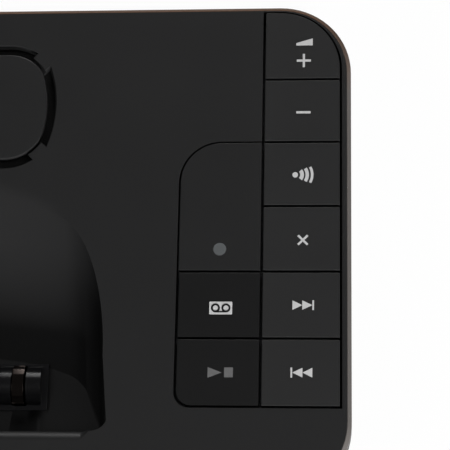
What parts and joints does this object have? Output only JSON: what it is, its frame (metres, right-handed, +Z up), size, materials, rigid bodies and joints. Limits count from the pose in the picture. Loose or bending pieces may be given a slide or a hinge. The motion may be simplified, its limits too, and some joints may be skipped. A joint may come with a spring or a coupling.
{
  "type": "cordless phone base station",
  "caption": "Sloped desk base of a cordless phone with an empty handset cradle, a loudspeaker and a field of press keys.",
  "frame": {"origin": "on the table under the middle of the bounding box", "axes": "+X right across the width, +Y to the back, +Z up"},
  "size_m": [0.115, 0.1006, 0.0368],
  "materials": {
    "cover_black": "fine matt texture",
    "rim_grey": "satin",
    "housing_black": "fine matt texture",
    "foot_rubber": "matt",
    "screw_steel": "plain",
    "contact_black": "gloss",
    "contact_metal": "bright",
    "felt": "felt",
    "speaker_steel": "plain",
    "cone_paper": "matt",
    "clamp_black": "plain",
    "key_black": "soft matt",
    "key_dark": "satin",
    "plunger_ivory": "plain",
    "switch_black": "plain",
    "guide_grey": "plain",
    "window_dark": "satin",
    "clear_grey": "frosted",
    "board_green": "solder resist",
    "led_white": "plain",
    "tin": "tinned",
    "cap_sleeve": "sleeve",
    "brass": "plain",
    "lead_red": "plain",
    "lead_blue": "plain"
  },
  "bodies": {
    "base": {"top_cover": "cover_black", "rim_trim": "rim_grey", "housing": "housing_black", "rubber_feet": "foot_rubber", "case_screws": "screw_steel", "contact_block": "contact_black", "speaker_plate": "cover_black", "speaker_gasket": "felt", "speaker_frame": "speaker_steel", "speaker_cone": "cone_paper", "speaker_magnet": "speaker_steel", "speaker_clamp": "clamp_black", "speaker_screws": "screw_steel", "key_switches": "switch_black", "key_guide": "guide_grey", "indicator_window": "window_dark", "light_pipe": "clear_grey", "main_board": "board_green", "board_screws": "screw_steel", "status_leds": "led_white", "radio_shield": "tin", "chips": "switch_black", "capacitors": "cap_sleeve", "antennas": "brass", "line_socket": "switch_black", "line_contacts": "brass", "power_socket": "switch_black", "power_pin": "tin", "lead_sockets": "led_white", "speaker_leads": "lead_red", "contact_leads": "lead_blue"},
    "key_volume_up_body": {"key_volume_up": "key_black", "plunger_volume_up": "plunger_ivory"},
    "key_volume_down_body": {"key_volume_down": "key_black", "plunger_volume_down": "plunger_ivory"},
    "key_page_body": {"key_page": "key_black", "plunger_page": "plunger_ivory"},
    "key_delete_body": {"key_delete": "key_black", "plunger_delete": "plunger_ivory"},
    "key_next_body": {"key_next": "key_black", "plunger_next": "plunger_ivory"},
    "key_previous_body": {"key_previous": "key_black", "plunger_previous": "plunger_ivory"},
    "key_answer_body": {"key_answer": "key_dark", "plunger_answer": "plunger_ivory"},
    "key_play_body": {"key_play": "key_dark", "plunger_play": "plunger_ivory"},
    "contact_left_body": {"charge_contact_left": "contact_metal"},
    "contact_right_body": {"charge_contact_right": "contact_metal"}
  },
  "joints": [
    {"name": "press_volume_up", "type": "slide", "parent": "base", "child": "key_volume_up_body", "axis": [0, -0.1219, 0.9925], "range_m": [-0.0007, 0], "stiffness_N_per_m": 600},
    {"name": "press_volume_down", "type": "slide", "parent": "base", "child": "key_volume_down_body", "axis": [0, -0.1219, 0.9925], "range_m": [-0.0007, 0], "stiffness_N_per_m": 600},
    {"name": "press_page", "type": "slide", "parent": "base", "child": "key_page_body", "axis": [0, -0.1219, 0.9925], "range_m": [-0.0007, 0], "stiffness_N_per_m": 600},
    {"name": "press_delete", "type": "slide", "parent": "base", "child": "key_delete_body", "axis": [0, -0.1219, 0.9925], "range_m": [-0.0007, 0], "stiffness_N_per_m": 600},
    {"name": "press_next", "type": "slide", "parent": "base", "child": "key_next_body", "axis": [0, -0.1219, 0.9925], "range_m": [-0.0007, 0], "stiffness_N_per_m": 600},
    {"name": "press_previous", "type": "slide", "parent": "base", "child": "key_previous_body", "axis": [0, -0.1219, 0.9925], "range_m": [-0.0007, 0], "stiffness_N_per_m": 600},
    {"name": "press_answer", "type": "slide", "parent": "base", "child": "key_answer_body", "axis": [0, -0.1219, 0.9925], "range_m": [-0.0007, 0], "stiffness_N_per_m": 600},
    {"name": "press_play", "type": "slide", "parent": "base", "child": "key_play_body", "axis": [0, -0.1219, 0.9925], "range_m": [-0.0007, 0], "stiffness_N_per_m": 600},
    {"name": "spring_contact_left", "type": "slide", "parent": "base", "child": "contact_left_body", "axis": [0, -0.1219, 0.9925], "range_m": [-0.001, 0], "stiffness_N_per_m": 400},
    {"name": "spring_contact_right", "type": "slide", "parent": "base", "child": "contact_right_body", "axis": [0, -0.1219, 0.9925], "range_m": [-0.001, 0], "stiffness_N_per_m": 400}
  ]
}
